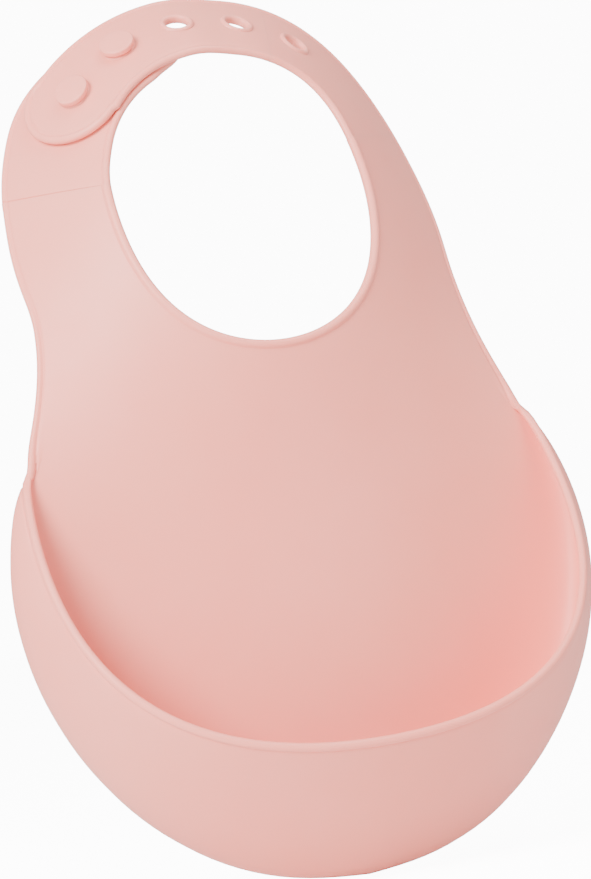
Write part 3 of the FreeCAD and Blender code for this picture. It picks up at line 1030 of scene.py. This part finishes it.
            chest = self.chest_column(start[k], split[k], leave_ways[k], ways[k], float(lift[k]))
            ahead = split[k] + ways[k] * 0.5
            leave = unit(sheet.point(ahead[0], ahead[1], float(lift[k])) - chest[-1])
            out = np.array([ways[k, 0], 0.0, ways[k, 1]])
            wall = self.wall_column(outer[k], chest[-1], leave, out, float(bulge[k]))
            net.append(np.concatenate([chest, wall]))
        net = np.array(net)
        pouch = np.concatenate([np.zeros(len(edge)), np.ones(self.pouch_stations)])
        ease = smooth(np.convolve(np.pad(pouch, 4, mode="edge"), np.ones(9) / 9, mode="valid"))
        if mirrored:
            net[..., 0] *= -1
        return net, Rim.SIDE.value[0] + ease * (Rim.POUCH.value[0] - Rim.SIDE.value[0])

    @staticmethod
    def bend(poles: list[Array], share: Array) -> Array:
        """Draw a cubic bend.

        Args:
            poles: Its four poles.
            share: Where along it, from 0 to 1.

        Returns:
            The points.
        """
        f = np.asarray(share)[:, None]
        g = 1 - f
        return poles[0] * g**3 + poles[1] * (3 * g * g * f) + poles[2] * (3 * g * f * f) + poles[3] * f**3

    def build(self, palette: Palette) -> bpy.types.Object:
        """Mould the body and put it on the frame.

        Args:
            palette: The materials.

        Returns:
            The skin.
        """
        right, right_radius = self.half_net(float(self.strap.angle(self.right_end)), False)
        left, left_radius = self.half_net(180.0 - float(self.strap.angle(self.left_end)), True)
        net = np.concatenate([right, left[-2::-1]])
        radius = np.concatenate([right_radius, left_radius[-2::-1]])
        gap_neck = gap_to(net, net[:, 0])
        gap_edge = gap_to(net, net[:, -1])
        edge_rim = (radius[:, None], Rim.SIDE.value[1], Rim.SIDE.value[2])
        half = self.skin.half_thickness([gap_neck, gap_edge], [Rim.NECK.value, edge_rim])
        body = self.skin.mould("bib_body", net, half)
        palette.dress(body, Finish.CHEST)
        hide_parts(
            "bib_panel",
            "right_shoulder",
            "left_shoulder",
            "pouch_wall_right",
            "pouch_wall_front",
            "pouch_wall_left",
            "pouch_rim",
            "neckline_bead",
            "right_side_bead",
            "left_side_bead",
        )
        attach(body, "bib")
        return body


# ---------------------------------------------------------------- straps
@dataclass(frozen=True)
class StrapEnd:
    """A free end of strap with its rounded tip; stations and sizes in millimetres."""

    strap: Strap
    root: float
    tip: float
    on_top: bool
    squareness: float = 0.0
    drift: float = 0.0
    skin: Skin = Skin()
    spacing: float = 2.0
    tip_steps: int = 44
    lines: int = 12

    def loop(self) -> tuple[Array, Array, Array]:
        """Draw the strap's edge and its spine.

        Returns:
            The edge from the outer root round the tip to the inner root, and the spine's point and
            lift for each.
        """
        collar = self.strap.collar
        sheet = collar.sheet
        count = int(abs(self.tip - self.root) / self.spacing) + 2
        stations = with_tongue(np.linspace(self.root, self.tip, count))
        angle = self.strap.angle(stations)
        width = collar.width(angle) if self.on_top else collar.shoulder_width(angle)
        lift = self.strap.over(stations) if self.on_top else self.strap.under(stations)
        drifted = self.drift * smooth((stations - self.root) / (self.tip - self.root))
        outer = sheet.point(*collar.across(angle, width - drifted), lift)
        inner = sheet.point(*collar.across(angle, -drifted), lift)
        spine = sheet.point(*collar.across(angle, width / 2 - drifted), lift)
        front = unit(sheet.front(*collar.across(angle[-1:], width[-1:] / 2))[0])
        aside = unit(outer[-1] - inner[-1])
        onward = unit(np.cross(front, aside))
        if onward @ (spine[-1] - spine[-2]) < 0:
            onward = -onward
        radius = float(width[-1] / 2)
        turns = np.radians(np.linspace(90.0, -90.0, self.tip_steps + 1)[1:-1])
        power = 1.0 - self.squareness
        lateral = radius * np.sign(np.sin(turns)) * np.abs(np.sin(turns)) ** power
        forward = radius * np.abs(np.cos(turns)) ** power
        flat = spine[-1] + lateral[:, None] * aside + forward[:, None] * onward
        flat = flat - sheet.front(flat[:, 0], flat[:, 2]) * lift[-1]
        tip = sheet.point(flat[:, 0], flat[:, 2], lift[-1])
        edge = np.concatenate([outer, tip, inner[::-1]])
        bones = np.concatenate([spine, np.repeat(spine[-1:], len(tip), axis=0), spine[::-1]])
        lifts = np.concatenate([lift, np.full(len(tip), lift[-1]), lift[::-1]])
        return edge, bones, lifts

    def mould(self, name: str) -> bpy.types.Object:
        """Mould the strap's free end.

        Args:
            name: The piece's name.

        Returns:
            The skin.
        """
        sheet = self.strap.collar.sheet
        edge, bones, lifts = self.loop()
        reach = np.linalg.norm(bones - edge, axis=1)
        steps = self.skin.edge_steps(Rim.STRAP_OUTER.value[0])
        net = []
        for start, end, length, lift in zip(edge, bones, reach, lifts):
            gone = np.concatenate([steps, np.linspace(steps[-1], length, self.lines + 1)[1:]]) / length
            line = start + (end - start) * gone[:, None]
            low = line - sheet.front(line[:, 0], line[:, 2]) * lift
            laid = sheet.point(low[:, 0], low[:, 2], lift)
            laid[0], laid[-1] = start, end
            net.append(laid)
        net = np.array(net)
        half_way = len(edge) // 2
        gap = gap_to(net, edge)
        inner_share = smooth((np.arange(len(edge)) - half_way) / 12.0 + 0.5)[:, None]
        mixed = [a + (b - a) * inner_share for a, b in zip(Rim.STRAP_OUTER.value, Rim.STRAP_INNER.value)]
        half = self.skin.half_thickness([gap], [tuple(mixed)])
        hidden = len(TONGUE_STEPS)
        half[:hidden] *= TONGUE_SHARE
        half[-hidden:] *= TONGUE_SHARE
        return self.skin.mould(name, net, half)


@dataclass(frozen=True)
class StudStrap:
    """The strap from the left shoulder, with its two studs; sizes in millimetres."""

    strap: Strap
    root: float = 95.0
    bend_start: float = 93.0
    bend_end: float = 75.0
    tip_eyelet: int = 2
    tip_squareness: float = 0.5
    tip_drift: float = 1.0

    def build(self, palette: Palette) -> bpy.types.Object:
        """Mould the strap.

        Args:
            palette: The materials.

        Returns:
            The skin.
        """
        tip = self.strap.eyelet_station(self.tip_eyelet)
        end = StrapEnd(self.strap, self.root, tip, False, self.tip_squareness, self.tip_drift)
        skin = end.mould("stud_strap_skin")
        palette.dress(skin, Finish.STRAPS)
        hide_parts("stud_strap", "stud_strap_bead", "stud_strap_hinge_band")
        middle = float(self.strap.under((self.bend_start + self.bend_end) / 2))
        start, stop = (self.strap.middle(s, middle) for s in (self.bend_start, self.bend_end))
        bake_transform(skin)
        return skin


@dataclass(frozen=True)
class EyeletStrap:
    """The strap from the right shoulder, with its five eyelets; sizes in millimetres."""

    strap: Strap
    root: float = -86.0
    join: float = -27.3
    hinge_bend: tuple[float, float] = (-84.0, -64.0)
    curl_bend: tuple[float, float] = (-11.5, 4.1)
    hole_radius: float = 5.2
    punch_depth: float = 8.0
    lines: int = 22
    skin: Skin = Skin()

    def root_net(self) -> Array:
        """Lay the net of the strap's first stretch.

        Returns:
            The net, by row, line and axis.
        """
        collar = self.strap.collar
        count = int((self.join - self.root) / 2.0) + 2
        angle = self.strap.angle(with_tongue(np.linspace(self.root, self.join, count)))
        width = collar.width(angle)
        inner = self.skin.edge_steps(Rim.STRAP_INNER.value[0])
        outer = self.skin.edge_steps(Rim.STRAP_OUTER.value[0])
        rows = []
        for turn, wide in zip(angle, width):
            between = np.linspace(inner[-1], wide - outer[-1], self.lines + 1)[1:-1]
            across = np.concatenate([inner, between, (wide - outer)[::-1]])
            x, z = collar.across(np.full(len(across), turn), across)
            rows.append(collar.sheet.point(x, z))
        return np.array(rows)

    def build(self, palette: Palette) -> list[bpy.types.Object]:
        """Mould the strap in two stretches and punch its holes.

        Args:
            palette: The materials.

        Returns:
            The two skins.
        """
        net = self.root_net()
        gaps = [gap_to(net, net[:, 0]), gap_to(net, net[:, -1])]
        half = self.skin.half_thickness(gaps, [Rim.STRAP_INNER.value, Rim.STRAP_OUTER.value])
        half[: len(TONGUE_STEPS)] *= TONGUE_SHARE
        first = self.skin.mould("eyelet_strap_root", net, half)
        tip = self.strap.eyelet_station(1)
        end = StrapEnd(self.strap, self.join, tip, True).mould("eyelet_strap_end")
        places = [self.strap.eyelet_place(k) for k in range(1, 6)]
        punch(end, places[:4], self.hole_radius, self.punch_depth)
        punch(first, places[4:], self.hole_radius, self.punch_depth)
        for skin in (first, end):
            palette.dress(skin, Finish.STRAPS)
        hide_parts("hole_strap", "hole_strap_bead", "hole_strap_hinge_band")
        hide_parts("hole_strap_end", "hole_strap_end_bead", "hole_strap_curl_band")
        start, stop = (self.strap.middle(s) for s in self.hinge_bend)
        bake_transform(first)
        middle = float(self.strap.over(sum(self.curl_bend) / 2))
        start, stop = (self.strap.middle(s, middle) for s in self.curl_bend)
        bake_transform(end)
        return [first, end]


@dataclass(frozen=True)
class Eyelet:
    """A raised ring round a hole in the strap; sizes in millimetres."""

    strap: Strap
    bore: float = 3.9
    lip: float = 6.5
    half_height: float = 1.72

    def build(self, palette: Palette, number: int, body: str) -> bpy.types.Object:
        """Model one ring and set it in the strap.

        Args:
            palette: The materials.
            number: Which eyelet, counted from the strap's tip.
            body: The frame's body that it rides on.

        Returns:
            The ring.
        """
        thick = (self.lip - self.bore) / 2
        clear_selection()
        bpy.ops.mesh.primitive_torus_add(
            major_radius=(self.bore + thick) * MM,
            minor_radius=thick * MM,
            major_segments=ROUND_STEPS,
            minor_segments=TUBE_STEPS,
        )
        ring = added("eyelet_ring_%d" % number)
        bpy.ops.object.mode_set(mode="EDIT")
        bpy.ops.mesh.select_all(action="SELECT")
        bpy.ops.transform.resize(value=(1.0, 1.0, self.half_height / thick), center_override=(0.0, 0.0, 0.0))
        bpy.ops.object.mode_set(mode="OBJECT")
        ring.data.transform(self.strap.eyelet_place(number))
        settle(ring)
        palette.dress(ring, Finish.EYELETS)
        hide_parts("eyelet_%d" % number)
        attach(ring, body)
        return ring


@dataclass(frozen=True)
class Stud:
    """A mushroom stud on the stud strap; sizes in millimetres."""

    strap: Strap
    post: float = 3.6
    head: float = 6.5
    foot: float = 0.6
    head_under: float = 4.95
    head_height: float = 2.3
    round_over: float = 0.65

    def build(self, palette: Palette, number: int) -> bpy.types.Object:
        """Model one stud: a post, whose top is drawn out to a head with rounded edges.

        Args:
            palette: The materials.
            number: Which stud, counted from the eyelet strap's tip.

        Returns:
            The stud.
        """
        clear_selection()
        tall = self.head_under - self.foot
        middle = (self.head_under + self.foot) / 2
        bpy.ops.mesh.primitive_cylinder_add(
            vertices=ROUND_STEPS, radius=self.post * MM, depth=tall * MM, location=(0.0, 0.0, middle * MM)
        )
        stud = added("stud_mushroom_%d" % number)
        bpy.ops.object.transform_apply(location=True, rotation=True, scale=True)
        bpy.ops.object.mode_set(mode="EDIT")
        select_faces_where(stud, lambda p: p.normal.z > 0.9)
        centre = (0.0, 0.0, self.head_under * MM)
        wide = self.head / self.post
        bpy.ops.mesh.extrude_region_move(TRANSFORM_OT_translate={"value": (0.0, 0.0, 0.0)})
        bpy.ops.transform.resize(value=(wide, wide, 1.0), center_override=centre)
        bpy.ops.mesh.extrude_region_move(TRANSFORM_OT_translate={"value": (0.0, 0.0, self.head_height * MM)})
        bpy.ops.mesh.select_mode(type="EDGE")
        bpy.ops.mesh.select_all(action="DESELECT")
        bpy.ops.object.mode_set(mode="OBJECT")
        for edge in stud.data.edges:
            ends = [stud.data.vertices[k].co for k in edge.vertices]
            round_edge = all(abs(math.hypot(e.x, e.y) - self.head * MM) < 1e-6 for e in ends)
            edge.select = round_edge and abs(ends[0].z - ends[1].z) < 1e-7
        bpy.ops.object.mode_set(mode="EDIT")
        bpy.ops.mesh.bevel(offset=self.round_over * MM, segments=6, affect="EDGES")
        bpy.ops.object.mode_set(mode="OBJECT")
        stud.data.transform(self.strap.stud_place(number))
        settle(stud)
        palette.dress(stud, Finish.STUDS)
        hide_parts("stud_%d" % number)
        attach(stud, "stud_strap")
        return stud


# ---------------------------------------------------------------- studio
@dataclass(frozen=True)
class Studio:
    """The pale floor, the soft lights and the camera; sizes in metres, angles in degrees."""

    azimuth: float = 18.27
    elevation: float = -2.56
    roll: float = 9.005
    distance: float = 1.04037
    target: tuple[float, float, float] = (0.000727, 0.0, -0.035385)
    lens: float = 121.463
    floor_size: float = 14.0
    floor_gap: float = 0.002
    room_light: float = 0.7
    backdrop_light: float = 12.0
    floor_light: float = 11.0
    lamps: tuple[tuple[str, tuple[float, float, float], float, float], ...] = (
        ("key", (-1.1, -0.9, 0.75), 0.9, 62.0),
        ("top", (0.4, -0.5, 1.3), 0.8, 18.0),
    )

    def camera(self) -> None:
        """Set up the camera."""
        turn, rise, tilt = (math.radians(a) for a in (self.azimuth, self.elevation, self.roll))
        back = Vector((-math.sin(turn) * math.cos(rise), -math.cos(turn) * math.cos(rise), math.sin(rise)))
        right = Vector((math.cos(turn), -math.sin(turn), 0.0))
        up = Vector((math.sin(turn) * math.sin(rise), math.cos(turn) * math.sin(rise), math.cos(rise)))
        across = right * math.cos(tilt) - up * math.sin(tilt)
        upright = right * math.sin(tilt) + up * math.cos(tilt)
        lens = bpy.data.cameras.new("camera")
        lens.lens = self.lens
        lens.sensor_width = 36.0
        camera = bpy.data.objects.new("camera", lens)
        bpy.context.scene.collection.objects.link(camera)
        place = Matrix((across, upright, back)).transposed().to_4x4()
        place.translation = Vector(self.target) + back * self.distance
        camera.matrix_world = place
        bpy.context.scene.camera = camera

    def light(self, name: str, at: tuple[float, float, float], size: float, power: float) -> None:
        """Add one soft lamp that faces the bib.

        Args:
            name: The lamp's name.
            at: Where it stands.
            size: How wide it is.
            power: Its power, in watts.
        """
        lamp = bpy.data.lights.new(name, "AREA")
        lamp.shape = "DISK"
        lamp.size = size
        lamp.energy = power
        obj = bpy.data.objects.new(name, lamp)
        bpy.context.scene.collection.objects.link(obj)
        obj.location = at
        obj.rotation_mode = "QUATERNION"
        obj.rotation_quaternion = (Vector((0.0, 0.0, -0.04)) - Vector(at)).to_track_quat("-Z", "Y")

    @staticmethod
    def glow(tree: bpy.types.NodeTree, strength: bpy.types.NodeSocket, cast: float, seen: float) -> None:
        """Give a light one strength for the room and another for the camera.

        Args:
            tree: The node tree that it is in.
            strength: Its strength socket.
            cast: The strength that lights the bib.
            seen: The strength that the camera sees.
        """
        path = tree.nodes.new("ShaderNodeLightPath")
        level = tree.nodes.new("ShaderNodeMapRange")
        level.inputs["To Min"].default_value = cast
        level.inputs["To Max"].default_value = seen
        tree.links.new(path.outputs["Is Camera Ray"], level.inputs["Value"])
        tree.links.new(level.outputs["Result"], strength)

    def floor(self, lowest: float) -> None:
        """Lay the pale floor just under the bib.

        Args:
            lowest: The height of the bib's lowest point.
        """
        clear_selection()
        bpy.ops.mesh.primitive_plane_add(size=self.floor_size, location=(0.0, 0.0, lowest - self.floor_gap))
        plane = added("floor")
        bpy.ops.object.transform_apply(location=True, rotation=True, scale=True)
        pale = bpy.data.materials.new("pale_floor")
        pale.use_nodes = True
        shader = pale.node_tree.nodes["Principled BSDF"]
        shader.inputs["Base Color"].default_value = (0.93, 0.93, 0.93, 1.0)
        shader.inputs["Roughness"].default_value = 0.9
        shader.inputs["Emission Color"].default_value = (1.0, 1.0, 1.0, 1.0)
        self.glow(pale.node_tree, shader.inputs["Emission Strength"], 0.0, self.floor_light)
        plane.data.materials.append(pale)

    def build(self, lowest: float) -> None:
        """Set up the studio.

        Args:
            lowest: The height of the bib's lowest point.
        """
        self.floor(lowest)
        world = bpy.data.worlds.new("studio")
        world.use_nodes = True
        backdrop = world.node_tree.nodes["Background"]
        backdrop.inputs["Color"].default_value = (1.0, 1.0, 1.0, 1.0)
        self.glow(world.node_tree, backdrop.inputs["Strength"], self.room_light, self.backdrop_light)
        bpy.context.scene.world = world
        for name, at, size, power in self.lamps:
            self.light(name, at, size, power)
        self.camera()


# ---------------------------------------------------------------- the build
def report(obj: bpy.types.Object) -> None:
    """Log one finished piece.

    Args:
        obj: The piece.
    """
    obj.data.calc_loop_triangles()
    LOG.info("%s: %d triangles", obj.name, len(obj.data.loop_triangles))


def main() -> None:
    """Build the bib and its studio."""
    logging.basicConfig(level=logging.INFO, format="%(name)s: %(message)s")
    palette = Palette()
    strap = Strap()
    pieces = [BibBody(strap).build(palette), StudStrap(strap).build(palette)]
    pieces += EyeletStrap(strap).build(palette)
    bodies = ("hole_strap_end", "hole_strap_end", "hole_strap_end", "hole_strap", "hole_strap")
    for number, body in enumerate(bodies, start=1):
        pieces.append(Eyelet(strap).build(palette, number, body))
    pieces += [Stud(strap).build(palette, number) for number in (1, 2)]
    for piece in pieces:
        report(piece)
    Studio().build(FRAME_BOX[0].z)


if __name__ == "__main__":
    main()
